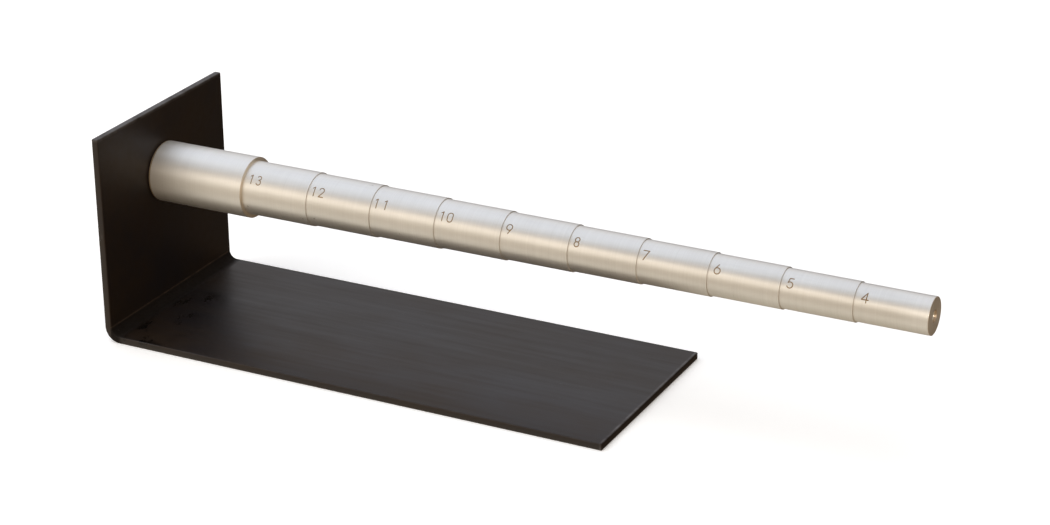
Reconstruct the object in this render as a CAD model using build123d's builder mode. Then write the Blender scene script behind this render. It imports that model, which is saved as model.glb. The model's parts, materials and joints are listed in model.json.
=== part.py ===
from build123d import *
import math
import os

# Ring mandrel: a stepped aluminium bar, held out over its foot by a bent steel bracket.
# +X runs along the mandrel from the bracket's upright to the tip and +Z is up. The origin is on
# the bench, under the middle of the whole object. All sizes are in millimetres.

INCH = 25.4

# Bracket: one plate, bent once
plate_thickness = 3.0
bracket_width = 91.0
bracket_height = 3.5 * INCH
foot_length = 226.5
bend_inside_radius = 3.5
plate_edge_break = 0.3

# Mandrel: a root section, then one cylindrical band for each ring size
axis_height = 60.1
root_diameter = 1.0 * INCH
root_length = 44.7
bands_start = 45.7
band_pitch = 29.1
ring_sizes = range(13, 3, -1)
size_zero_diameter = 0.458 * INCH
diameter_per_size = 0.032 * INCH
end_chamfer = 0.5
shoulder_break = 0.1
centre_hole_mouth = 5.0
centre_hole_pilot = 2.0
centre_hole_depth = 5.0

# Size marks: engraved figures, read from the root towards the tip
figure_height = 3.75
figure_advance = 4.1
figure_stroke = 0.42
figure_depth = 0.12
figure_positions = {13: 3.8, 12: 4.0, 11: 3.7, 10: 4.2, 9: 3.1, 8: 3.2, 7: 2.9, 6: 3.5, 5: 3.6, 4: 4.0}
figure_tilt = 40.5

# Fastener: a 5/16-18 hexagon head screw with a split lock washer and a flat washer
screw_diameter = 5 / 16 * INCH
screw_length = 1.0 * INCH
screw_point_chamfer = 0.8
head_across_flats = 0.5 * INCH
head_height = 5.2
head_corner_chamfer = 0.7
clearance_hole_diameter = 11 / 32 * INCH
tapped_hole_diameter = screw_diameter + 0.04
tapped_hole_depth = 22.0
drill_point_angle = 118.0
flat_washer_outside = 11 / 16 * INCH
flat_washer_thickness = 1.65
lock_washer_inside = 8.1
lock_washer_outside = 14.9
lock_washer_thickness = 2.0
lock_washer_gap = 1.2
lock_washer_slant = 30.0

# Places along X
mandrel_length = bands_start + band_pitch * len(ring_sizes)
washers_thickness = flat_washer_thickness + lock_washer_thickness
depth_behind_upright = plate_thickness + washers_thickness + head_height
upright_front = (depth_behind_upright - mandrel_length) / 2
upright_back = upright_front - plate_thickness
lock_washer_front = upright_back - flat_washer_thickness
head_front = lock_washer_front - lock_washer_thickness
foot_end = upright_back + foot_length

mandrel_axis = Axis((0, 0, axis_height), (1, 0, 0))


def band_start(size):
    """Where a band begins, measured from the root's end face. The root covers the start of the first."""
    return bands_start + band_pitch * (ring_sizes[0] - size)


def band_radius(size):
    """Half of the inside diameter of a ring of this US size."""
    return (size_zero_diameter + diameter_per_size * size) / 2


def section(distance):
    """The plane square to the mandrel at a place along X, with Y and Z as its own directions."""
    return Plane.YZ.offset(distance)


def finish(piece, name):
    """Label a finished piece and write it as its own file."""
    piece.part.label = name
    export_step(piece.part, f"parts/{name}.step")


os.makedirs("parts", exist_ok=True)

# ---- Bracket ----
outer_bend = bend_inside_radius + plate_thickness
with BuildPart() as bracket:
    with BuildSketch(Plane.XZ) as bracket_profile:
        with BuildLine():
            Polyline(
                (upright_back, 0),
                (foot_end, 0),
                (foot_end, plate_thickness),
                (upright_front, plate_thickness),
                (upright_front, bracket_height),
                (upright_back, bracket_height),
                close=True,
            )
        make_face()
        corners = bracket_profile.vertices()
        fillet(corners.sort_by_distance((upright_back, 0, 0))[0], outer_bend)
        corners = bracket_profile.vertices()
        fillet(corners.sort_by_distance((upright_front, 0, plate_thickness))[0], bend_inside_radius)
    extrude(amount=bracket_width / 2, both=True)
    side_edges = bracket.faces().filter_by(Axis.Y).edges()
    chamfer(side_edges, plate_edge_break)
    with BuildSketch(section(upright_front)):
        with Locations((0, axis_height)):
            Circle(clearance_hole_diameter / 2)
    extrude(amount=-plate_thickness, mode=Mode.SUBTRACT)
finish(bracket, "bracket")

# ---- Mandrel ----
# One closed outline above the axis: tapped hole, root, bands with their shoulders, centre hole.


def stepped_outline(inset):
    """Points of the root and the bands, from root to tip, with every radius smaller by inset."""
    radii = [root_diameter / 2] + [band_radius(size) for size in ring_sizes]
    ends = [root_length] + [band_start(size) + band_pitch for size in ring_sizes]
    points = [(0, radii[0] - end_chamfer - inset), (end_chamfer, radii[0] - inset)]
    for radius, end, next_radius in zip(radii, ends, radii[1:]):
        points.append((end - shoulder_break, radius - inset))
        points.append((end, radius - shoulder_break - inset))
        points.append((end, next_radius - inset))
    tip_radius = radii[-1] - inset
    points.append((ends[-1] - shoulder_break, tip_radius))
    points.append((ends[-1], tip_radius - shoulder_break))
    return points


def turn(points, mode=Mode.ADD):
    """Revolve an outline of distances from the root's end face, and radii, about the mandrel's axis."""
    with BuildSketch(Plane.XZ) as outline:
        with BuildLine():
            Polyline([(upright_front + x, axis_height + radius) for x, radius in points], close=True)
        make_face()
    revolve(outline.sketch, axis=mandrel_axis, mode=mode)


tap_radius = tapped_hole_diameter / 2
drill_point = tapped_hole_depth + tap_radius / math.tan(math.radians(drill_point_angle / 2))
mouth_radius = centre_hole_mouth / 2
pilot_radius = centre_hole_pilot / 2
cone_depth = (mouth_radius - pilot_radius) / math.tan(math.radians(30))
tapped_hole_outline = [(drill_point, 0), (tapped_hole_depth, tap_radius), (0, tap_radius)]
centre_hole_outline = [
    (mandrel_length, mouth_radius),
    (mandrel_length - cone_depth, pilot_radius),
    (mandrel_length - centre_hole_depth, pilot_radius),
    (mandrel_length - centre_hole_depth - pilot_radius, 0),
]

# Centre lines of the figures' strokes, on a figure one unit high and centred on x = 0. Four numbers
# are a straight stroke from one point to another; five are an arc: centre, radius, start and turn.
figure_strokes = {
    "0": [(0, 0.7, 0.3, 0, 180), (0, 0.3, 0.3, 180, 180), (-0.3, 0.3, -0.3, 0.7), (0.3, 0.3, 0.3, 0.7)],
    "1": [(0.21, 0, 0.21, 1), (0.21, 1, 0.01, 0.86)],
    "2": [(0, 0.72, 0.28, 165, -205), (0.2145, 0.54, -0.24, 0), (-0.24, 0, 0.3, 0)],
    "3": [(0, 0.77, 0.23, 150, -240), (0, 0.27, 0.27, 90, -240)],
    "4": [(0.16, 0, 0.16, 1), (0.16, 1, -0.34, 0.27), (-0.34, 0.27, 0.36, 0.27)],
    "5": [(0.28, 1, -0.12, 1), (-0.12, 1, -0.219, 0.529), (0, 0.31, 0.31, 135, -285)],
    "6": [(0, 0.32, 0.32, 0, 360), (-0.271, 0.49, 0.05, 1)],
    "7": [(-0.32, 1, 0.32, 1), (0.32, 1, -0.14, 0)],
    "8": [(0, 0.755, 0.245, 0, 360), (0, 0.265, 0.265, 0, 360)],
    "9": [(0, 0.68, 0.32, 0, 360), (0.271, 0.51, -0.05, 0)],
}


def figure_plane(size, offset):
    """The plane that touches a band where a figure's centre is, offset from the text's centre."""
    tilt = math.radians(figure_tilt)
    outward = (0, -math.cos(tilt), math.sin(tilt))
    radius = band_radius(size)
    centre = (
        upright_front + band_start(size) + figure_positions[size] + offset,
        radius * outward[1],
        axis_height + radius * outward[2],
    )
    return Plane(origin=centre, x_dir=(1, 0, 0), z_dir=outward)


def figure_prism(figure, plane):
    """A figure's strokes as a prism that stands through the surface of the band."""
    reach = 1.0
    lift = figure_height / 2
    with BuildLine() as centre_lines:
        for stroke in figure_strokes[figure]:
            if len(stroke) == 4:
                x1, y1, x2, y2 = (figure_height * value for value in stroke)
                Line((x1, y1 - lift), (x2, y2 - lift))
            else:
                x, y, radius = (figure_height * value for value in stroke[:3])
                CenterArc((x, y - lift), radius, stroke[3], stroke[4])
    with BuildSketch(plane) as strokes:
        for centre_line in centre_lines.edges():
            trace(centre_line, line_width=figure_stroke)
    extrude(strokes.sketch, amount=reach, dir=plane.z_dir, both=True)


with BuildPart() as engraving:
    for size in ring_sizes:
        text = str(size)
        for place, figure in enumerate(text):
            offset = (place - (len(text) - 1) / 2) * figure_advance
            figure_prism(figure, figure_plane(size, offset))
    turn([(0, 0)] + stepped_outline(figure_depth) + [(mandrel_length, 0)], mode=Mode.SUBTRACT)

with BuildPart() as mandrel:
    turn(tapped_hole_outline + stepped_outline(0) + centre_hole_outline)
    add(engraving.part, mode=Mode.SUBTRACT)
finish(mandrel, "mandrel")

# ---- Fastener, from behind the upright ----
with BuildPart() as flat_washer:
    with BuildSketch(section(upright_back)):
        with Locations((0, axis_height)):
            Circle(flat_washer_outside / 2)
            Circle(clearance_hole_diameter / 2, mode=Mode.SUBTRACT)
    extrude(amount=-flat_washer_thickness)
    chamfer(flat_washer.faces().sort_by(Axis.X)[0].outer_wire().edges(), plate_edge_break)
finish(flat_washer, "flat_washer")

with BuildPart() as lock_washer:
    with BuildSketch(section(lock_washer_front)):
        with Locations((0, axis_height)):
            Circle(lock_washer_outside / 2)
            Circle(lock_washer_inside / 2, mode=Mode.SUBTRACT)
    extrude(amount=-lock_washer_thickness)
    # The slanted slit through the top of the ring
    slit_lean = lock_washer_thickness * math.tan(math.radians(lock_washer_slant)) / 2
    with BuildSketch(Plane.XY.offset(axis_height)):
        with BuildLine():
            Polyline(
                (lock_washer_front, slit_lean - lock_washer_gap / 2),
                (lock_washer_front, slit_lean + lock_washer_gap / 2),
                (head_front, -slit_lean + lock_washer_gap / 2),
                (head_front, -slit_lean - lock_washer_gap / 2),
                close=True,
            )
        make_face()
    extrude(amount=lock_washer_outside, mode=Mode.SUBTRACT)
finish(lock_washer, "lock_washer")

with BuildPart() as mounting_screw:
    with BuildSketch(section(head_front)):
        with Locations((0, axis_height)):
            RegularPolygon(head_across_flats / 2, 6, major_radius=False)
    extrude(amount=-head_height)
    # The turned chamfer that takes the corners off the hexagon's free end
    corner_radius = head_across_flats / 2 / math.cos(math.radians(30))
    with BuildSketch(Plane.XZ):
        with BuildLine():
            Polyline(
                (head_front, axis_height),
                (head_front, axis_height + corner_radius),
                (head_front - head_height + head_corner_chamfer, axis_height + corner_radius),
                (head_front - head_height, axis_height + head_across_flats / 2 - head_corner_chamfer / 2),
                (head_front - head_height, axis_height),
                close=True,
            )
        make_face()
    revolve(axis=mandrel_axis, mode=Mode.INTERSECT)
    # The threaded shank, plain at its outside diameter
    with BuildSketch(section(head_front)):
        with Locations((0, axis_height)):
            Circle(screw_diameter / 2)
    extrude(amount=screw_length)
    chamfer(mounting_screw.faces().sort_by(Axis.X)[-1].edges(), screw_point_chamfer)
finish(mounting_screw, "mounting_screw")
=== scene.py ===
import json
import math

import bmesh
import bpy
from mathutils import Matrix, Vector


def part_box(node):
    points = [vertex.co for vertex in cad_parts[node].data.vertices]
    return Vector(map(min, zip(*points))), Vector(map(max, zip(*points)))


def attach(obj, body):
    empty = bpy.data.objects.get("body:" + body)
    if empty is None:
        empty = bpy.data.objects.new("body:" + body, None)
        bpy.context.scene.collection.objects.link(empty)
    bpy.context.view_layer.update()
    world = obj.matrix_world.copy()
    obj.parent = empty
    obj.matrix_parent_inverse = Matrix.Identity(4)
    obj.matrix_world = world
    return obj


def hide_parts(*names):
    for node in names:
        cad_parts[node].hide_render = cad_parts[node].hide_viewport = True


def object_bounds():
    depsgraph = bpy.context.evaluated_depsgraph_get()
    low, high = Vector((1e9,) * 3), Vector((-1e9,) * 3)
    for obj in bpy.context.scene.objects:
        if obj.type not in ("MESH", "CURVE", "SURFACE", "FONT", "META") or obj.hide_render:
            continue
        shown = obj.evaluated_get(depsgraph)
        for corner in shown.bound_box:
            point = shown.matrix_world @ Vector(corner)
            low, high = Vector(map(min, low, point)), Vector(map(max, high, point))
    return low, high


# A ring mandrel: a turned aluminium bar with ten marked steps, screwed to the upright of a bent,
# blackened steel bracket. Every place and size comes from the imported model. Lengths are in metres.

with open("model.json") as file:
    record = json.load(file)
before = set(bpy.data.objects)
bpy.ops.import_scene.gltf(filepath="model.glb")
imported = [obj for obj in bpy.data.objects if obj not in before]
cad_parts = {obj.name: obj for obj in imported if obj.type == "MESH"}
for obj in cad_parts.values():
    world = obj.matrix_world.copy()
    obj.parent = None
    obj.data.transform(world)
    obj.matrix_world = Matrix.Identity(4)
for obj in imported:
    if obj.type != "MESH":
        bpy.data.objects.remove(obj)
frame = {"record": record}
cad_low, cad_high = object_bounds()
MM = 0.001

# ---------------------------------------------------------------- measures from the frame
bracket_low, bracket_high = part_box("bracket")
mandrel_low, mandrel_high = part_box("mandrel")
screw_low, screw_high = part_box("mounting_screw")
flat_low, flat_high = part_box("flat_washer")
lock_low, lock_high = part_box("lock_washer")

bands = sorted(
    (mount for mount in frame["record"]["mounts"] if mount["kind"] == "pin"),
    key=lambda mount: mount["pos_m"][0],
)
axis_height = bands[0]["pos_m"][2]
root_face = mandrel_low.x
tip_face = mandrel_high.x
root_radius = (mandrel_high.z - mandrel_low.z) / 2
upright_back = bracket_low.x
plate_thickness = root_face - upright_back

# Small features that the box of a node doesn't say, as in the CAD model
bend_inside_radius = 3.5 * MM
tapped_hole_radius = 3.99 * MM
tapped_hole_depth = 22 * MM
screw_radius = 3.97 * MM
clearance_radius = 4.37 * MM
thread_pitch = 25.4 / 18 * MM
centre_mouth_radius = 2.5 * MM
centre_pilot_radius = 1.0 * MM
centre_hole_depth = 5 * MM
band_pitch = 29.1 * MM
# the ring of the root next to the upright, which is given painted shade
contact_ring = 1.0 * MM
# width of the band of painted shade in the centre hole's mouth
centre_shade_width = 0.5 * MM
bend_top = plate_thickness + bend_inside_radius


# ---------------------------------------------------------------- mesh helpers
def make_object(name, mesh, materials, smooth_angle=35):
    """A piece of the object, smooth up to an angle, riding on the frame's only body."""
    piece = bpy.data.objects.new(name, mesh)
    bpy.context.scene.collection.objects.link(piece)
    for material in materials:
        mesh.materials.append(material)
    mesh.polygons.foreach_set("use_smooth", [True] * len(mesh.polygons))
    mesh.set_sharp_from_angle(angle=math.radians(smooth_angle))
    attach(piece, "root")
    return piece


def mesh_from(name, build):
    """A mesh filled by a function that works on a bmesh."""
    mesh = bpy.data.meshes.new(name)
    grid = bmesh.new()
    build(grid)
    bmesh.ops.recalc_face_normals(grid, faces=grid.faces)
    grid.to_mesh(mesh)
    grid.free()
    return mesh


def join_rings(grid, rings):
    """Faces between rings of vertices. A ring of one vertex is a point, joined by a fan."""
    for ring, following in zip(rings, rings[1:]):
        count = max(len(ring), len(following))
        for i in range(count):
            j = (i + 1) % count
            corners = [ring[i % len(ring)], ring[j % len(ring)]]
            corners += [following[j % len(following)], following[i % len(following)]]
            corners = list(dict.fromkeys(corners))
            if len(corners) > 2:
                grid.faces.new(corners)


def rounded(corners, steps=4):
    """An open outline whose corners, given as (x, y, radius), are rounded by arcs."""
    nearly_straight = math.radians(89.5)
    points = [corners[0][:2]]
    for before, corner, after in zip(corners, corners[1:], corners[2:]):
        here = Vector(corner[:2])
        back = (Vector(before[:2]) - here).normalized()
        ahead = (Vector(after[:2]) - here).normalized()
        radius = corner[2]
        half = back.angle(ahead) / 2
        if radius == 0 or half > nearly_straight:
            points.append(tuple(here))
            continue
        centre = here + (back + ahead).normalized() * radius / math.sin(half)
        start = here + back * radius / math.tan(half) - centre
        end = here + ahead * radius / math.tan(half) - centre
        for step in range(steps + 1):
            points.append(tuple(centre + start.slerp(end, step / steps).normalized() * radius))
    points.append(corners[-1][:2])
    return points


def turned(outline, segments, x0=0.0):
    """A lathe body about the mandrel's axis, from an outline of distances along X and radii."""
    on_axis = 1e-7

    def build(grid):
        rings = []
        for x, radius in outline:
            count = 1 if radius < on_axis else segments
            ring = []
            for i in range(count):
                angle = 2 * math.pi * i / segments
                side = radius * math.cos(angle)
                up = radius * math.sin(angle)
                ring.append(grid.verts.new((x0 + x, side, axis_height + up)))
            rings.append(ring)
        if outline[0] == outline[-1]:
            for vertex in rings.pop():
                grid.verts.remove(vertex)
            rings.append(rings[0])
        join_rings(grid, rings)
    return build


# ---------------------------------------------------------------- node helpers
MIX_FIRST_COLOUR = 6
MIX_SECOND_COLOUR = 7
MIX_COLOUR_OUT = 2


class Nodes:
    """Short calls for the nodes that the materials and the world share."""

    def __init__(self, tree):
        self.tree = tree

    def node(self, kind, **settings):
        made = self.tree.nodes.new(kind)
        for setting, value in settings.items():
            setattr(made, setting, value)
        return made

    def feed(self, socket, value):
        """Link an output to a socket, or set the socket to a plain value."""
        if isinstance(value, bpy.types.NodeSocket):
            self.tree.links.new(value, socket)
        else:
            socket.default_value = value

    def levels(self, value, low, high, to_low=0.0, to_high=1.0):
        """A value stretched from one range to another, and held at the ends."""
        made = self.node("ShaderNodeMapRange")
        self.feed(made.inputs["Value"], value)
        made.inputs["From Min"].default_value = low
        made.inputs["From Max"].default_value = high
        made.inputs["To Min"].default_value = to_low
        made.inputs["To Max"].default_value = to_high
        return made.outputs["Result"]

    def maths(self, operation, *values):
        made = self.node("ShaderNodeMath", operation=operation)
        for socket, value in zip(made.inputs, values):
            self.feed(socket, value)
        return made.outputs["Value"]

    def product(self, first, *others):
        for value in others:
            first = self.maths("MULTIPLY", first, value)
        return first

    def mix(self, factor, first, second, blend="MIX"):
        made = self.node("ShaderNodeMix", data_type="RGBA", blend_type=blend)
        self.feed(made.inputs["Factor"], factor)
        self.feed(made.inputs[MIX_FIRST_COLOUR], first)
        self.feed(made.inputs[MIX_SECOND_COLOUR], second)
        return made.outputs[MIX_COLOUR_OUT]

    def split(self, vector):
        made = self.node("ShaderNodeSeparateXYZ")
        self.feed(made.inputs["Vector"], vector)
        return made.outputs


class Finish(Nodes):
    """A material with a Principled shader, whose patterns follow the piece's own coordinates."""

    def __init__(self, name, **sockets):
        self.material = bpy.data.materials.new(name)
        self.material.use_nodes = True
        super().__init__(self.material.node_tree)
        self.shader = self.tree.nodes["Principled BSDF"]
        for key, value in sockets.items():
            socket = key.replace("_", " ").title().replace("Ior", "IOR")
            self.shader.inputs[socket].default_value = value
        self.position = self.node("ShaderNodeTexCoord").outputs["Object"]

    def stretched(self, x, y, z, rotation=(0, 0, 0)):
        """The piece's own coordinates, turned and scaled along each axis."""
        mapping = self.node("ShaderNodeMapping")
        self.feed(mapping.inputs["Vector"], self.position)
        mapping.inputs["Rotation"].default_value = rotation
        mapping.inputs["Scale"].default_value = (x, y, z)
        return mapping.outputs["Vector"]

    def noise(self, vector, detail=4.0, roughness=0.55):
        made = self.node("ShaderNodeTexNoise")
        self.feed(made.inputs["Vector"], vector)
        made.inputs["Scale"].default_value = 1.0
        made.inputs["Detail"].default_value = detail
        made.inputs["Roughness"].default_value = roughness
        return made.outputs["Fac"]

    def bump(self, height, strength, distance, normal=None):
        made = self.node("ShaderNodeBump")
        self.feed(made.inputs["Height"], height)
        made.inputs["Strength"].default_value = strength
        made.inputs["Distance"].default_value = distance
        if normal is not None:
            self.feed(made.inputs["Normal"], normal)
        return made.outputs["Normal"]

    def attribute(self, name):
        return self.node("ShaderNodeAttribute", attribute_name=name).outputs["Fac"]

    def set(self, socket, value):
        self.feed(self.shader.inputs[socket], value)


# ---------------------------------------------------------------- finishes
def turned_aluminium(name, dark, light, roughness):
    """Satin turned metal: fine rings round the axis, soft lengthwise handling marks, a rare pit."""
    f = Finish(name, metallic=0.72, anisotropic=0.5, anisotropic_rotation=0.25)
    rings = f.noise(f.stretched(2600, 25, 25), detail=3.0, roughness=0.7)
    coarse_rings = f.noise(f.stretched(520, 8, 8), detail=3.0, roughness=0.6)
    streaks = f.noise(f.stretched(14, 260, 260), detail=5.0, roughness=0.6)
    clouds = f.noise(f.stretched(45, 90, 90), detail=4.0)
    pits = f.levels(f.noise(f.stretched(330, 330, 330), detail=1.0), 0.775, 0.80)
    pit_colour = (0.30, 0.27, 0.24, 1)
    tone = 0.5
    for value, reach in ((rings, 0.16), (coarse_rings, 0.07), (streaks, 0.16), (clouds, 0.10)):
        tone = f.maths("ADD", tone, f.levels(value, 0.3, 0.7, -reach, reach))
    base = f.mix(tone, dark, light)
    f.set("Base Color", f.mix(f.product(pits, 0.45), base, pit_colour))
    f.set("Roughness", f.levels(streaks, 0.3, 0.7, roughness - 0.03, roughness + 0.03))
    hairs = f.noise(f.stretched(22, 1100, 1100), detail=3.0, roughness=0.6)
    relief = f.maths("ADD", f.product(rings, 0.5), f.product(hairs, 0.5))
    normal = f.bump(relief, 0.22, 0.02 * MM)
    f.set("Normal", f.bump(pits, 0.4, -0.03 * MM, normal))
    tangent = f.node("ShaderNodeTangent", direction_type="RADIAL", axis="X")
    f.set("Tangent", tangent.outputs["Tangent"])
    return f.material


def etched_mark():
    """The burnt, slightly rough floor of an engraved figure."""
    f = Finish("etched_mark", metallic=0.6, roughness=0.55)
    burnt = (0.26, 0.17, 0.09, 1)
    tarnished = (0.46, 0.34, 0.21, 1)
    grain = f.noise(f.stretched(3000, 3000, 3000), detail=3.0)
    f.set("Base Color", f.mix(f.levels(grain, 0.3, 0.7), burnt, tarnished))
    f.set("Normal", f.bump(grain, 0.3, 0.03 * MM))
    return f.material


def black_steel():
    """Blackened plate: brown-black scale in soft patches, rolling streaks, oily smears, worn edges;
    painted bend shade and highlight.
    """
    brown_scale = (0.0150, 0.0088, 0.0046, 1)
    blue_scale = (0.0074, 0.0062, 0.0080, 1)
    oil_black = (0.001, 0.001, 0.001, 1)
    bend_shade_black = (0.001, 0.0008, 0.0006, 1)
    bend_highlight_brown = (0.060, 0.044, 0.032, 1)
    scratch_grey = (0.10, 0.10, 0.10, 1)
    worn_grey = (0.085, 0.082, 0.084, 1)
    f = Finish("black_steel", metallic=0.0, specular_ior_level=0.55, specular_tint=(1.0, 0.93, 0.93, 1))
    streaks = f.noise(f.stretched(16, 300, 300), detail=6.0, roughness=0.6)
    patches = f.noise(f.stretched(17, 30, 30), detail=5.0, roughness=0.6)
    bloom = f.noise(f.stretched(38, 60, 60), detail=4.0, roughness=0.5)
    grain = f.noise(f.stretched(2200, 2200, 2200), detail=4.0, roughness=0.7)
    wear_and_highlight_breakup = f.noise(f.stretched(160, 160, 160), detail=5.0, roughness=0.65)
    tone = f.maths("ADD", f.product(streaks, 0.3), f.product(patches, 0.7))
    base = f.mix(f.levels(tone, 0.38, 0.62), brown_scale, blue_scale)

    # oily smears on the near half of the foot, beside the bend
    place = f.split(f.position)
    from_bend = f.maths("SUBTRACT", place["X"], root_face)
    beside = f.product(f.levels(from_bend, 3 * MM, 7 * MM), f.levels(from_bend, 30 * MM, 14 * MM))
    oil = f.noise(f.stretched(110, 80, 80), detail=6.0, roughness=0.65)
    near_side = f.levels(place["Y"], 12 * MM, 2 * MM)
    smear = f.product(f.levels(oil, 0.485, 0.55), beside, near_side)
    base = f.mix(smear, base, oil_black)

    # a painted highlight line at the top of the inside of the bend, and painted shade over the inside of
    # the bend under it, which is also rougher
    height = place["Z"]
    from_line = f.maths("ABSOLUTE", f.maths("SUBTRACT", height, bend_top))
    in_front = f.levels(from_bend, -0.5 * MM, -0.1 * MM)
    line = f.product(f.levels(from_line, 0.45 * MM, 0.15 * MM), in_front)
    line = f.product(line, f.levels(from_bend, 1.0 * MM, 0.6 * MM), f.levels(wear_and_highlight_breakup, 0.30, 0.60))
    shade_and_dull = f.product(f.levels(height, bend_top + 1 * MM, bend_top - 1 * MM), in_front)
    shade_and_dull = f.product(shade_and_dull, f.levels(from_bend, 6 * MM, 3 * MM))
    # painted shade inside the bend
    base = f.mix(f.product(shade_and_dull, 0.8), base, bend_shade_black)
    # the painted highlight line at the top of the bend, broken up by noise
    base = f.mix(line, base, bend_highlight_brown)

    # a few light slanting scratches, in patches
    slant = (math.radians(38), 0, math.radians(30))
    lines = f.levels(f.noise(f.stretched(500, 1500, 45, slant), detail=1.0), 0.74, 0.80)
    scratches = f.product(lines, f.levels(bloom, 0.54, 0.64))
    base = f.mix(f.product(scratches, 0.5), base, scratch_grey)

    wear = f.product(f.attribute("edge"), f.levels(wear_and_highlight_breakup, 0.34, 0.60))
    f.set("Base Color", f.mix(wear, base, worn_grey))
    patch_rough = f.levels(tone, 0.38, 0.62, 0.46, 0.38)
    rough = f.maths("ADD", patch_rough, f.levels(streaks, 0.35, 0.65, 0.025, -0.025))
    rough = f.maths("ADD", rough, f.product(smear, -0.22))
    f.set("Roughness", f.maths("ADD", rough, f.product(shade_and_dull, 0.50)))
    relief = f.maths("ADD", f.product(grain, 0.5), f.product(streaks, 0.5))
    f.set("Normal", f.bump(relief, 0.25, 0.05 * MM))
    return f.material


def plated_steel(name, dark, light, roughness):
    """Plated or plain fastener steel with a faint mottle."""
    f = Finish(name, metallic=1.0, roughness=roughness)
    mottle = f.noise(f.stretched(900, 900, 900), detail=4.0)
    f.set("Base Color", f.mix(f.levels(mottle, 0.35, 0.65), dark, light))
    f.set("Roughness", f.levels(mottle, 0.3, 0.7, roughness - 0.06, roughness + 0.08))
    f.set("Normal", f.bump(mottle, 0.15, 0.02 * MM))
    return f.material


aluminium = turned_aluminium("turned_aluminium", (0.84, 0.83, 0.81, 1), (0.99, 0.985, 0.97, 1), 0.46)
# a darker, browner copy: painted shade where the bar meets the upright and in the centre hole's mouth
painted_shade_aluminium = turned_aluminium("aluminium_painted_shade", (0.48, 0.37, 0.26, 1), (0.72, 0.59, 0.45, 1), 0.42)
# a warmer copy: a painted warm reflection on the faces towards the tip
warm_reflection_aluminium = turned_aluminium("aluminium_painted_warm_reflection", (0.90, 0.80, 0.68, 1), (1.0, 0.96, 0.87, 1), 0.38)
# a lighter, smoother copy: a painted glint inside the centre hole; its lower roughness is real
glint_aluminium = turned_aluminium("aluminium_painted_glint", (0.95, 0.91, 0.83, 1), (1.0, 0.98, 0.93, 1), 0.30)
mark = etched_mark()
steel = black_steel()
zinc = plated_steel("zinc_plate", (0.46, 0.47, 0.49, 1), (0.62, 0.63, 0.64, 1), 0.32)
spring = plated_steel("spring_steel", (0.20, 0.19, 0.19, 1), (0.32, 0.31, 0.31, 1), 0.38)


# ---------------------------------------------------------------- mandrel
def band_radius(band):
    return band["dims"]["r_mm"] * MM


def band_end(band):
    """The end of a band nearest the tip: its wall and the edge break that follows it."""
    edge_break = 0.1 * MM
    return band["pos_m"][0] - root_face + band["dims"]["length_mm"] * MM / 2 + edge_break


def mandrel_root_length():
    """From the root's face to the ledge where the first band starts."""
    return bands[0]["pos_m"][0] - root_face - bands[0]["dims"]["length_mm"] * MM / 2


def mandrel_outline():
    """From the bottom of the tapped hole, round the root and down the steps, into the centre hole."""
    length = tip_face - root_face
    drill_point = tapped_hole_depth + tapped_hole_radius * math.tan(math.radians(31))
    countersink = 0.6 * MM
    root_chamfer = 0.5 * MM
    edge_round = 0.13 * MM
    inner_round = 0.05 * MM
    tip_round = 0.22 * MM
    root_end = mandrel_root_length()
    radii = [root_radius] + [band_radius(band) for band in bands]
    ends = [root_end] + [band_end(band) for band in bands]
    corners = [
        (drill_point, 0, 0),
        (tapped_hole_depth, tapped_hole_radius, 0.3 * MM),
        (countersink, tapped_hole_radius, 0.1 * MM),
        (0, tapped_hole_radius + countersink, 0.1 * MM),
        (0, root_radius - root_chamfer, 0.12 * MM),
        (root_chamfer, root_radius, 0.12 * MM),
        (contact_ring, root_radius, 0),
    ]
    for radius, end, next_radius in zip(radii, ends, radii[1:]):
        corners.append((end, radius, edge_round))
        corners.append((end, next_radius, inner_round))
    cone = (centre_mouth_radius - centre_pilot_radius) * math.sqrt(3)
    corners += [
        (length, radii[-1], tip_round),
        (length, centre_mouth_radius, 0.12 * MM),
        # where the painted shade in the centre hole's mouth ends
        (length - centre_shade_width * math.sqrt(3), centre_mouth_radius - centre_shade_width, 0),
        (length - cone, centre_pilot_radius, 0.1 * MM),
        (length - centre_hole_depth, centre_pilot_radius, 0.1 * MM),
        (length - centre_hole_depth - centre_pilot_radius, 0, 0),
    ]
    return rounded(corners)


# Centre lines of the figures' strokes, on a figure one unit high and centred on x = 0. Four numbers
# are a straight stroke from one point to another; five are an arc: centre, radius, start and turn.
FIGURE_STROKES = {
    "0": [
        (0, 0.7, 0.3, 0, 180),
        (0, 0.3, 0.3, 180, 180),
        (-0.3, 0.3, -0.3, 0.7),
        (0.3, 0.3, 0.3, 0.7),
    ],
    "1": [(0.21, 0, 0.21, 1), (0.21, 1, 0.01, 0.86)],
    "2": [(0, 0.72, 0.28, 165, -205), (0.2145, 0.54, -0.24, 0), (-0.24, 0, 0.3, 0)],
    "3": [(0, 0.77, 0.23, 150, -240), (0, 0.27, 0.27, 90, -240)],
    "4": [(0.16, 0, 0.16, 1), (0.16, 1, -0.34, 0.27), (-0.34, 0.27, 0.36, 0.27)],
    "5": [(0.28, 1, -0.12, 1), (-0.12, 1, -0.219, 0.529), (0, 0.31, 0.31, 135, -285)],
    "6": [(0, 0.32, 0.32, 0, 360), (-0.271, 0.49, 0.05, 1)],
    "7": [(-0.32, 1, 0.32, 1), (0.32, 1, -0.14, 0)],
    "8": [(0, 0.755, 0.245, 0, 360), (0, 0.265, 0.265, 0, 360)],
    "9": [(0, 0.68, 0.32, 0, 360), (0.271, 0.51, -0.05, 0)],
}
figure_height = 3.75 * MM
figure_advance = 4.1 * MM
figure_stroke = 0.42 * MM
figure_depth = 0.12 * MM
figure_tilt = math.radians(40.5)

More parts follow.
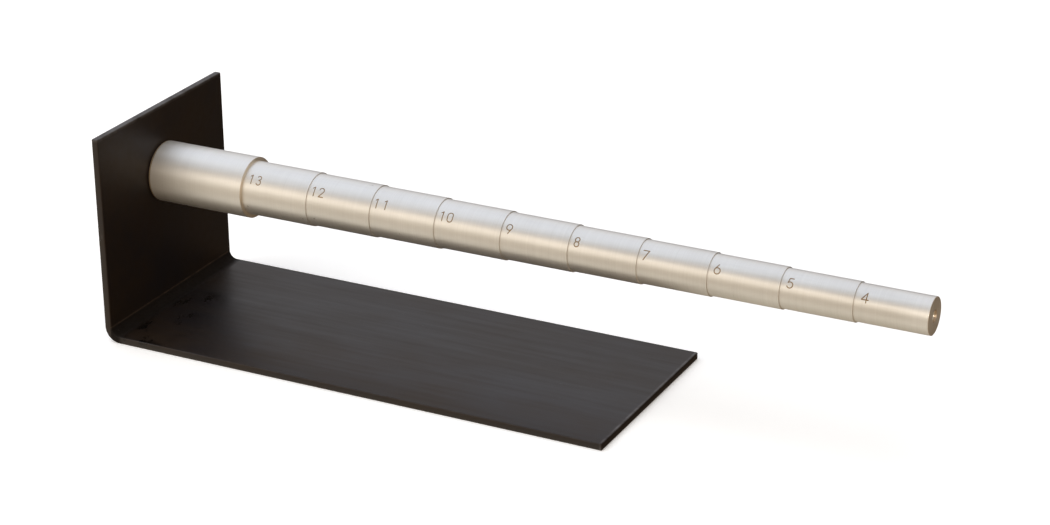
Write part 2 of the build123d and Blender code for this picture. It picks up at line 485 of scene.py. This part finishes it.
# How far past its ledge the middle of each size's figures is, in millimetres
figure_positions = {
    13: 3.8,
    12: 4.0,
    11: 3.7,
    10: 4.2,
    9: 3.1,
    8: 3.2,
    7: 2.9,
    6: 3.5,
    5: 3.6,
    4: 4.0,
}


def stroke_points(stroke):
    """Points along a stroke's centre line, in metres from the figure's middle, and whether it closes."""
    spacing = 0.2 * MM
    if len(stroke) == 4:
        start = Vector(stroke[:2])
        end = Vector(stroke[2:])
        count = max(2, round((end - start).length * figure_height / spacing))
        points = [start.lerp(end, i / count) for i in range(count + 1)]
        closed = False
    else:
        x, y, radius, first, turn = stroke
        count = max(8, round(math.radians(abs(turn)) * radius * figure_height / spacing))
        closed = abs(turn) == 360
        places = range(count if closed else count + 1)
        angles = [math.radians(first + turn * i / count) for i in places]
        points = [Vector((x + radius * math.cos(a), y + radius * math.sin(a))) for a in angles]
    return [(p - Vector((0, 0.5))) * figure_height for p in points], closed


def add_stroke(grid, stroke, place):
    """A solid ribbon along a stroke, from the figure's floor to above the band, with round ends."""
    points, closed = stroke_points(stroke)
    half = figure_stroke / 2
    clear = 3 * figure_depth
    pairs = []
    for i, point in enumerate(points):
        before = points[i - 1] if closed or i else point
        after = points[(i + 1) % len(points)] if closed or i < len(points) - 1 else point
        across = (after - before).normalized().orthogonal() * half
        pairs.append((point + across, point - across))
    if not closed:
        cap_steps = 5
        short_of_closing = 0.3
        for end, inner in ((0, 1), (-1, -2)):
            outward = (points[end] - points[inner]).normalized()
            across = pairs[end][0] - points[end]
            extra = []
            for step in range(1, cap_steps + 1):
                angle = math.pi / 2 * step / (cap_steps + short_of_closing)
                shifted = points[end] + outward * half * math.sin(angle)
                reach = across * math.cos(angle)
                extra.append((shifted + reach, shifted - reach))
            pairs = extra[::-1] + pairs if end == 0 else pairs + extra
    rings = []
    for left, right in pairs:
        low_left, low_right = place(left, -figure_depth), place(right, -figure_depth)
        high_left, high_right = place(left, clear), place(right, clear)
        rings.append([grid.verts.new(p) for p in (low_left, low_right, high_right, high_left)])
    if closed:
        join_rings(grid, rings + rings[:1])
    else:
        join_rings(grid, rings)
        grid.faces.new(rings[0])
        grid.faces.new(rings[-1])


def figure_cutters():
    """For every stroke of every figure: the function that fills its cutter."""
    for band in bands:
        text = band["name"].split("_")[-1]
        radius = band_radius(band)
        middle = root_face + band_end(band) - band_pitch + figure_positions[int(text)] * MM
        for number, figure in enumerate(text):
            centre = middle + (number - (len(text) - 1) / 2) * figure_advance

            def place(point, lift, centre=centre, radius=radius):
                tilt = figure_tilt + math.asin(point.y / radius)
                reach = radius + lift
                return (centre + point.x, -reach * math.cos(tilt), axis_height + reach * math.sin(tilt))

            for stroke in FIGURE_STROKES[figure]:
                yield lambda grid, stroke=stroke, place=place: add_stroke(grid, stroke, place)


def cut_away(piece, builds, materials=()):
    """Take closed shapes out of a piece. The cut faces keep the cutters' material."""
    bpy.context.view_layer.objects.active = piece
    for build in builds:
        cutter = bpy.data.objects.new("cutter", mesh_from("cutter", build))
        for material in materials:
            cutter.data.materials.append(material)
        bpy.context.scene.collection.objects.link(cutter)
        cut = piece.modifiers.new("cut", "BOOLEAN")
        cut.operation = "DIFFERENCE"
        cut.solver = "MANIFOLD"
        cut.material_mode = "TRANSFER" if materials else "INDEX"
        cut.object = cutter
        bpy.context.view_layer.update()
        bpy.ops.object.modifier_apply(modifier=cut.name)
        bpy.data.objects.remove(cutter)
    piece.data.set_sharp_from_angle(angle=math.radians(35))


def finish_of(x, radius, faces_tip):
    """Which finish, or which painted shade, reflection or glint, a place on the mandrel has, by its
    distance along X and its radius.
    """
    shade_inside = centre_mouth_radius - centre_shade_width
    in_contact = root_face + 0.1 * MM < x < root_face + contact_ring
    in_mouth = x > tip_face - 2 * MM and shade_inside < radius < centre_mouth_radius
    # painted shade where the bar meets the upright and in the mouth of the centre hole
    if in_contact or in_mouth:
        return painted_shade_aluminium
    # a painted glint deeper in the centre hole
    if x > tip_face - centre_hole_depth - 2 * MM and radius < shade_inside:
        return glint_aluminium
    # a painted warm reflection on the tip's end and the root's ledge, which face the tip
    on_ledge = abs(x - root_face - mandrel_root_length()) < 0.1 * MM
    if faces_tip and (on_ledge or x > tip_face - 0.2 * MM):
        return warm_reflection_aluminium
    return aluminium


def make_mandrel():
    finishes = [aluminium, painted_shade_aluminium, warm_reflection_aluminium, glint_aluminium]
    mesh = mesh_from("turned_mandrel", turned(mandrel_outline(), 384, root_face))
    mandrel = make_object("turned_mandrel", mesh, finishes)
    for face in mesh.polygons:
        radius = math.hypot(face.center.y, face.center.z - axis_height)
        finish = finish_of(face.center.x, radius, face.normal.x > 0.3)
        face.material_index = finishes.index(finish)
    cut_away(mandrel, figure_cutters(), [mark])
    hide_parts("mandrel")


# ---------------------------------------------------------------- bracket
def rounded_rectangle(width, height, radius, steps=4):
    """A loop of (y, n) points round a section, centred on y = 0, from n = 0 to its height."""
    loop = []
    for side, level, first in ((1, 1, 0), (-1, 1, 90), (-1, 0, 180), (1, 0, 270)):
        centre_y = side * (width / 2 - radius)
        centre_n = height - radius if level else radius
        for step in range(steps + 1):
            angle = math.radians(first + 90 * step / steps)
            loop.append((centre_y + radius * math.cos(angle), centre_n + radius * math.sin(angle)))
    return loop


def bracket_stations():
    """Places along the plate, from the upright's top to the foot's end: outer point, inward normal."""
    upright_steps = 12
    bend_steps = 20
    foot_steps = 24
    inside = bend_inside_radius
    outside = inside + plate_thickness
    centre = Vector((upright_back + outside, outside))
    stations = []
    top = bracket_high.z
    for step in range(upright_steps + 1):
        z = top + (outside - top) * step / upright_steps
        stations.append((Vector((upright_back, z)), Vector((1, 0))))
    for step in range(1, bend_steps):
        angle = math.radians(180 + 90 * step / bend_steps)
        radial = Vector((math.cos(angle), math.sin(angle)))
        stations.append((centre + radial * outside, -radial))
    for step in range(foot_steps + 1):
        x = centre.x + (bracket_high.x - centre.x) * step / foot_steps
        stations.append((Vector((x, 0)), Vector((0, 1))))
    return stations


# How far each edge's blackening is worn, from 0 to 1
TOP_WEAR = 0.8
FOOT_END_WEAR = 0.9
LONG_EDGE_WEAR = 0.12


def build_bracket(grid):
    """The plate's rounded section carried along its bent path, with rounded ends."""
    edge_radius = 0.45 * MM
    least_radius = 0.02 * MM
    round_steps = 4
    wear_fades = edge_radius + 1.0 * MM
    foot_wear_holds = edge_radius + 0.4 * MM
    edge = grid.verts.layers.float.new("edge")
    width = bracket_high.y - bracket_low.y
    stations = bracket_stations()
    sections = []
    for index, (outer, normal) in enumerate(stations):
        if index in (0, len(stations) - 1):
            # the end's rounding: thinner and narrower sections towards the very end
            top = index == 0
            ahead = Vector((0, -1)) if top else Vector((-1, 0))
            unworn = (outer + ahead * wear_fades, normal, 0.0, 0.0)
            steps = range(round_steps + 1)
            if not top:
                sections.append(unworn)
                sections.append((outer + ahead * foot_wear_holds, normal, 0.0, FOOT_END_WEAR))
                steps = reversed(steps)
            for step in steps:
                angle = math.pi / 2 * step / round_steps
                inset = edge_radius * (1 - math.sin(angle))
                setback = edge_radius * (1 - math.cos(angle))
                wear = TOP_WEAR if top else FOOT_END_WEAR * step / round_steps
                sections.append((outer + ahead * setback, normal, inset, wear))
            if top:
                sections.append(unworn)
        else:
            sections.append((outer, normal, 0.0, 0.0))
    rings = []
    for outer, normal, inset, end_wear in sections:
        radius = max(edge_radius - inset, least_radius)
        loop = rounded_rectangle(width - 2 * inset, plate_thickness - 2 * inset, radius)
        ring = []
        for number, (y, n) in enumerate(loop):
            point = outer + normal * (n + inset)
            vertex = grid.verts.new((point.x, y, point.y))
            on_rounding = number % (round_steps + 1) in range(1, round_steps)
            vertex[edge] = max(end_wear, LONG_EDGE_WEAR if on_rounding else 0.0)
            ring.append(vertex)
        rings.append(ring)
    join_rings(grid, rings)
    grid.faces.new(rings[0])
    grid.faces.new(rings[-1])


def make_bracket():
    mesh = mesh_from("bent_bracket", build_bracket)
    bracket = make_object("bent_bracket", mesh, [steel])
    beyond = 1 * MM
    start = upright_back - root_face - beyond
    drill_outline = [(start, 0), (start, clearance_radius), (beyond, clearance_radius), (beyond, 0)]
    cut_away(bracket, [turned(drill_outline, 96, root_face)])
    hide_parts("bracket")


# ---------------------------------------------------------------- fastener
def build_screw(grid):
    """A hexagon head with turned-off corners and a washer face, and a threaded shank, in one skin."""
    segments = 96
    corner_angle = math.radians(30)
    across = (screw_high.y - screw_low.y) / 2 * math.cos(corner_angle)
    across = min(across, (screw_high.z - screw_low.z) / 2)
    flat_top = across * 0.93
    washer_face_radius = across * 0.95
    washer_face = lock_low.x - 0.35 * MM
    corner_break = 0.15 * MM
    point_length = 0.9 * MM
    fillet = 0.2 * MM
    thread_depth = 0.61 * thread_pitch
    thread_start = lock_low.x + 6.5 * MM
    steps_a_pitch = 8
    crest_width = 1.15
    flank_slope = 2.6
    tip = screw_high.x

    def ring(x_of, radius_of):
        made = []
        for i in range(segments):
            angle = 2 * math.pi * i / segments
            radius = radius_of(angle)
            side = radius * math.cos(angle)
            up = radius * math.sin(angle)
            made.append(grid.verts.new((x_of(angle), side, axis_height + up)))
        return made

    def flat_ring(x, radius):
        return ring(lambda angle: x, lambda angle: radius)

    def hexagon(angle):
        folded = (angle + corner_angle) % (2 * corner_angle) - corner_angle
        return across / math.cos(folded)

    def broken_hexagon(angle):
        return hexagon(angle) - corner_break

    def chamfer_x(radius):
        return screw_low.x + max(0, radius - flat_top) * math.tan(corner_angle)

    rings = [
        [grid.verts.new((screw_low.x, 0, axis_height))],
        flat_ring(screw_low.x, flat_top),
        ring(lambda angle: chamfer_x(broken_hexagon(angle)), broken_hexagon),
        ring(lambda angle: chamfer_x(hexagon(angle)) + 0.12 * MM, hexagon),
        ring(lambda angle: washer_face - 0.1 * MM, hexagon),
        ring(lambda angle: washer_face, lambda angle: hexagon(angle) - 0.1 * MM),
        flat_ring(washer_face, washer_face_radius),
        flat_ring(lock_low.x, washer_face_radius),
        flat_ring(lock_low.x, screw_radius + fillet),
        flat_ring(lock_low.x + fillet, screw_radius),
        flat_ring(thread_start, screw_radius),
    ]
    count = int((tip - thread_start) / thread_pitch * steps_a_pitch)
    for step in range(1, count + 1):
        x = thread_start + step * thread_pitch / steps_a_pitch
        limit = screw_radius - max(0, x - (tip - point_length))

        def thread(angle, x=x, limit=limit):
            phase = (x / thread_pitch - angle / (2 * math.pi)) % 1
            ridge = min(1, max(0, crest_width - abs(phase - 0.5) * flank_slope))
            return min(limit, screw_radius - thread_depth + thread_depth * ridge)

        rings.append(ring(lambda angle, x=x: x, thread))
    rings.append([grid.verts.new((tip, 0, axis_height))])
    join_rings(grid, rings)


def build_lock_washer(grid):
    """A split ring of rounded section, whose slit is cut on a slant."""
    outer = (lock_high.z - lock_low.z) / 2
    inner = 4.05 * MM
    slit_half = 0.6 * MM
    edge_round = 0.3 * MM
    slant = math.tan(math.radians(30))
    middle_x = (lock_low.x + lock_high.x) / 2
    section = rounded_rectangle(lock_high.x - lock_low.x, outer - inner, edge_round, steps=3)
    steps = 90
    rings = []
    for step in range(steps + 1):
        ring = []
        for along, out in section:
            radius = inner + out
            gap = slit_half / radius
            lean = along * slant / radius
            turn = gap + (2 * math.pi - 2 * gap) * step / steps
            angle = math.pi / 2 + turn + lean
            side = radius * math.cos(angle)
            up = radius * math.sin(angle)
            ring.append(grid.verts.new((middle_x + along, side, axis_height + up)))
        rings.append(ring)
    join_rings(grid, rings)
    grid.faces.new(rings[0])
    grid.faces.new(rings[-1])


def flat_washer_outline():
    """Round the washer's section: punched, so one rim is rounded more than the other."""
    outer = (flat_high.z - flat_low.z) / 2
    thick = flat_high.x - flat_low.x
    corners = [
        (thick / 2, clearance_radius, 0),
        (0, clearance_radius, 0.15 * MM),
        (0, outer, 0.5 * MM),
        (thick, outer, 0.12 * MM),
        (thick, clearance_radius, 0.1 * MM),
        (thick / 2, clearance_radius, 0),
    ]
    return rounded(corners)


def make_fastener():
    screw_mesh = mesh_from("hex_screw", build_screw)
    screw = make_object("hex_screw", screw_mesh, [zinc])
    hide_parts("mounting_screw")
    flat_mesh = mesh_from("washer_flat", turned(flat_washer_outline(), 128, flat_low.x))
    flat = make_object("washer_flat", flat_mesh, [zinc])
    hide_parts("flat_washer")
    lock_mesh = mesh_from("washer_split", build_lock_washer)
    lock = make_object("washer_split", lock_mesh, [spring])
    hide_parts("lock_washer")


make_mandrel()
make_bracket()
make_fastener()


# ---------------------------------------------------------------- stage, light and camera
def make_floor():
    """A plain pale floor, which takes shadows but throws no light back on the object."""
    f = Finish("pale_floor", metallic=0.0, roughness=0.9, specular_ior_level=0.1)
    paper = f.noise(f.stretched(3, 3, 3), detail=2.0)
    f.set("Base Color", f.mix(paper, (0.92, 0.92, 0.915, 1), (0.94, 0.94, 0.935, 1)))
    f.set("Emission Color", (1.0, 0.99, 0.98, 1))
    f.set("Emission Strength", 0.25)

    def build(grid):
        bmesh.ops.create_grid(grid, x_segments=4, y_segments=4, size=12)

    clearance = 0.02 * MM
    floor = bpy.data.objects.new("floor", mesh_from("floor", build))
    floor.data.materials.append(f.material)
    floor.location.z = cad_low.z - clearance
    floor.visible_glossy = False
    floor.visible_diffuse = False
    bpy.context.scene.collection.objects.link(floor)


# The studio round the object, as light colours by the angle in degrees about the mandrel's axis: 0 is
# level in front, 90 is overhead, 180 is level behind, and below 0 is the glow of a warm bench.
STUDIO = [
    (-180, (0.12, 0.11, 0.10)),
    (-154, (0.20, 0.17, 0.15)),
    (-120, (0.49, 0.43, 0.34)),
    (-80, (0.57, 0.52, 0.43)),
    (-45, (0.91, 0.85, 0.73)),
    (-10, (0.44, 0.36, 0.26)),
    (8, (0.84, 0.75, 0.60)),
    (25, (2.15, 1.94, 1.66)),
    (42, (0.40, 0.31, 0.20)),
    (60, (0.36, 0.39, 0.44)),
    (85, (0.78, 0.86, 0.98)),
    (115, (0.81, 0.89, 1.04)),
    (150, (0.80, 0.79, 0.80)),
    (180, (0.12, 0.11, 0.10)),
]
STUDIO_PEAK = 2.2
TIP_SIDE_SHADE = (0.42, 0.345, 0.265, 1)


def add_spot(name, target, offset, energy, degrees, softness, colour, glints):
    """A small soft spot that looks at a target. If it glints, it is seen in reflections."""
    light = bpy.data.lights.new(name, "SPOT")
    light.energy = energy
    light.spot_size = math.radians(degrees)
    light.spot_blend = 1.0
    light.shadow_soft_size = softness
    light.color = colour
    lamp = bpy.data.objects.new(name, light)
    lamp.location = target + offset
    lamp.rotation_euler = (-offset).to_track_quat("-Z", "Y").to_euler()
    lamp.visible_glossy = glints
    bpy.context.scene.collection.objects.link(lamp)


def make_studio():
    """Light all round, dimmer from the tip's side, one broad soft light from above, and two spots."""
    world = bpy.data.worlds.new("studio")
    bpy.context.scene.world = world
    world.use_nodes = True
    sky = Nodes(world.node_tree)
    direction = sky.split(sky.node("ShaderNodeTexCoord").outputs["Generated"])
    turn = sky.maths("ARCTAN2", direction["Z"], sky.product(direction["Y"], -1))
    ramp = sky.node("ShaderNodeValToRGB")
    sky.feed(ramp.inputs["Fac"], sky.levels(turn, -math.pi, math.pi))
    elements = ramp.color_ramp.elements
    while len(elements) < len(STUDIO):
        elements.new(0.5)
    for element, (degrees, shade) in zip(elements, STUDIO):
        element.position = (degrees + 180) / 360
        element.color = (*(value / STUDIO_PEAK for value in shade), 1)
    side = sky.levels(direction["X"], -0.25, 0.25)
    background = sky.tree.nodes["Background"]
    shaded = sky.mix(side, ramp.outputs["Color"], TIP_SIDE_SHADE, blend="MULTIPLY")
    sky.feed(background.inputs["Color"], shaded)
    background.inputs["Strength"].default_value = STUDIO_PEAK

    soft = bpy.data.lights.new("soft_light", "SUN")
    soft.energy = 1.5
    soft.angle = math.radians(70)
    soft.color = (0.97, 0.985, 1.0)
    lamp = bpy.data.objects.new("soft_light", soft)
    lamp.rotation_euler = (math.radians(18), math.radians(-12), 0)
    lamp.visible_glossy = False
    bpy.context.scene.collection.objects.link(lamp)

    add_spot(
        "root_fill",
        target=Vector((root_face, -root_radius, axis_height)),
        offset=Vector((0.40, -0.55, 0.25)),
        energy=25,
        degrees=5.5,
        softness=0.06,
        colour=(1.0, 0.87, 0.68),
        glints=False,
    )
    add_spot(
        "centre_fill",
        target=Vector((tip_face - centre_mouth_radius, 0, axis_height)),
        offset=Vector((0.30, -0.22, 0.10)),
        energy=14,
        degrees=1.3,
        softness=0.01,
        colour=(1.0, 0.96, 0.88),
        glints=True,
    )


def make_camera():
    """Long lens, from the front right and above, as the bar runs away to the left."""
    camera = bpy.data.objects.new("camera", bpy.data.cameras.new("camera"))
    camera.data.sensor_width = 36
    camera.data.lens = 94.38
    camera.data.clip_start = 0.05
    camera.data.clip_end = 50
    azimuth = math.radians(27.02)
    elevation = math.radians(23.32)
    roll = math.radians(-0.442)
    from_bar_root = Vector((620.2, -886.1, 478.6)) * MM
    place = Vector((root_face, 0, 0)) + from_bar_root
    turn = Matrix.Rotation(azimuth, 4, "Z") @ Matrix.Rotation(math.pi / 2 - elevation, 4, "X")
    turn = turn @ Matrix.Rotation(roll, 4, "Z")
    camera.matrix_world = Matrix.Translation(place) @ turn
    bpy.context.scene.collection.objects.link(camera)
    bpy.context.scene.camera = camera


make_floor()
make_studio()
make_camera()
bpy.context.scene.view_settings.view_transform = "Standard"
